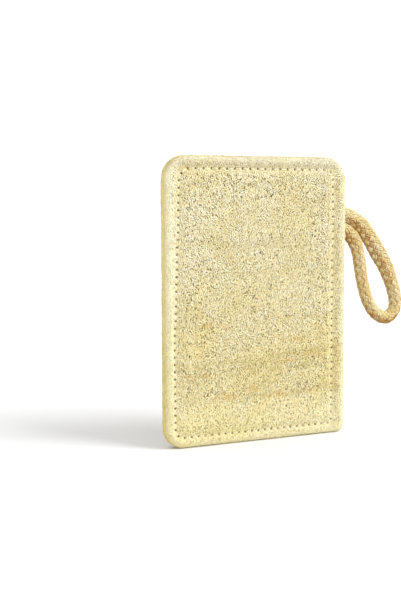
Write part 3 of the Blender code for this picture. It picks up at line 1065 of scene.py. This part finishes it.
def makeFibres(sheet, layer):
    made = mats[sheet].copy()
    made.data = mats[sheet].data.copy()
    made.name = sheet + "_fibres_" + layer
    scene.collection.objects.link(made)
    form = fibreLayers[layer]
    values = {
        "Spacing": form["spacing"] * mm,
        "Shortest": form["length"][0] * mm,
        "Longest": form["length"][1] * mm,
        "Radius": form["radius"] * mm,
        "Low": form["lift"][0] * mm,
        "High": form["lift"][1] * mm,
        "Rise": form["rise"] * mm,
        "Hole Clear": fibreForm["holeClear"] * mm,
        "Side": sheets[sheet]["side"],
        "Seed": form["seed"] + sheets[sheet]["seed"],
        "Holes": makeHolePoints(sheets[sheet]["side"]),
        "Material": materials[sheet + "Fibre"],
    }
    spread = made.modifiers.new("fibres", "NODES")
    spread.node_group = fibreNodes
    for item in fibreNodes.interface.items_tree:
        if item.in_out == "INPUT" and item.name in values:
            spread[item.identifier] = values[item.name]
    applyModifiers(made)
    bpy.data.objects.remove(values["Holes"])
    return made


fibres = {}
for sheet in sheets:
    for layer in fibreLayers:
        fibres[sheet, layer] = makeFibres(sheet, layer)
        print("fibres:", sheet, layer, len(fibres[sheet, layer].data.polygons), "faces")


# Lockstitch thread on each face: flat between its holes and dipping into each, with painted shade where it
# dips
def makeThread(name, side):
    line = resample(stitchLine, stitching["fineness"] * stitchCount, True, pitchAt)
    middles = []
    deep = []
    for i, spot in enumerate(line):
        share = (i % stitching["fineness"]) / stitching["fineness"]
        near = min(share, 1 - share) * pitchAt(spot)
        sunk = 1 - smoothStep(near, *stitching["dipReach"])
        height = halfThickness(*spot) - stitching["threadSink"] - stitching["dip"] * sunk
        middles.append(Vector((spot.x, side * height, spot.y)))
        deep.append(sunk)
    total, sides, radius = len(middles), stitching["threadSides"], stitching["threadRadius"]
    points, lays, deeps = [], [], []
    for i, middle in enumerate(middles):
        ahead = (middles[(i + 1) % total] - middles[i - 1]).normalized()
        across = ahead.cross(Vector((0, side, 0))).normalized()
        upward = across.cross(ahead).normalized()
        for corner in range(sides):
            angle = math.tau * corner / sides
            points.append(middle + radius * (math.cos(angle) * across + math.sin(angle) * upward))
            lays.append(i / 3 + angle / 6)
            deeps.append(smoothStep(deep[i], *stitching["dipShade"]))
    faces = tubeFaces(total, sides, 0, True)
    return makeObject(name, points, faces, materials["thread"], {"lay": lays, "deep": deeps})


threads = {
    "needle_thread": makeThread("needle_stitches", -1),
    "bobbin_thread": makeThread("bobbin_stitches", 1),
}
print("threads ready")


# Floor, backdrop colour and lights
def makeFloor():
    material, tree, shader, place = startMaterial("whiteFloor")
    base = mixColours(pattern(tree, place, 3.0) * 0.02, (0.74, 0.74, 0.74, 1), (0.71, 0.71, 0.71, 1))
    finishMaterial(tree, shader, base, 0.9)
    mesh = bpy.data.meshes.new("floor")
    half = 6.0  # metres
    corners = [(-half, -half, 0), (half, -half, 0), (half, half, 0), (-half, half, 0)]
    mesh.from_pydata(corners, [], [(0, 1, 2, 3)])
    mesh.materials.append(material)
    floor = bpy.data.objects.new("floor", mesh)
    scene.collection.objects.link(floor)


def makeSun(name, source, spread, power):
    light = bpy.data.lights.new(name, "SUN")
    light.angle = math.radians(spread)
    light.energy = power
    made = bpy.data.objects.new(name, light)
    made.rotation_euler = (-Vector(source)).to_track_quat("-Z", "Y").to_euler()
    scene.collection.objects.link(made)


def makeWorld(glow, seen):
    world = bpy.data.worlds.new("studio")
    world.use_nodes = True
    tree = world.node_tree
    background = tree.nodes["Background"]
    ray = node(tree, "ShaderNodeLightPath", {}, {}, "Is Camera Ray")
    strength = ray * (seen - glow) + glow
    background.inputs["Color"].default_value = (1, 1, 1, 1)
    tree.links.new(strength.socket, background.inputs["Strength"])
    scene.world = world


makeFloor()
makeWorld(glow=1.0, seen=1.1)
makeSun("sun", source=(0.9, -0.78, 0.9), spread=36, power=3.0)
scene.view_settings.view_transform = "Standard"

for name in sheets:
    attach(mats[name], "root")
    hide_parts(name + "_sheet")
for (sheet, layer), piece in fibres.items():
    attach(piece, "root")
    "loofah_" + sheet
for nodeName, piece in threads.items():
    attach(piece, "root")
    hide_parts(nodeName)
for piece in (ropeBraid, ropeCore):
    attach(piece, "root")
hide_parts("rope_loop")
[tuple(point * mm) for point in smoothRoute(rope["pathStep"])]
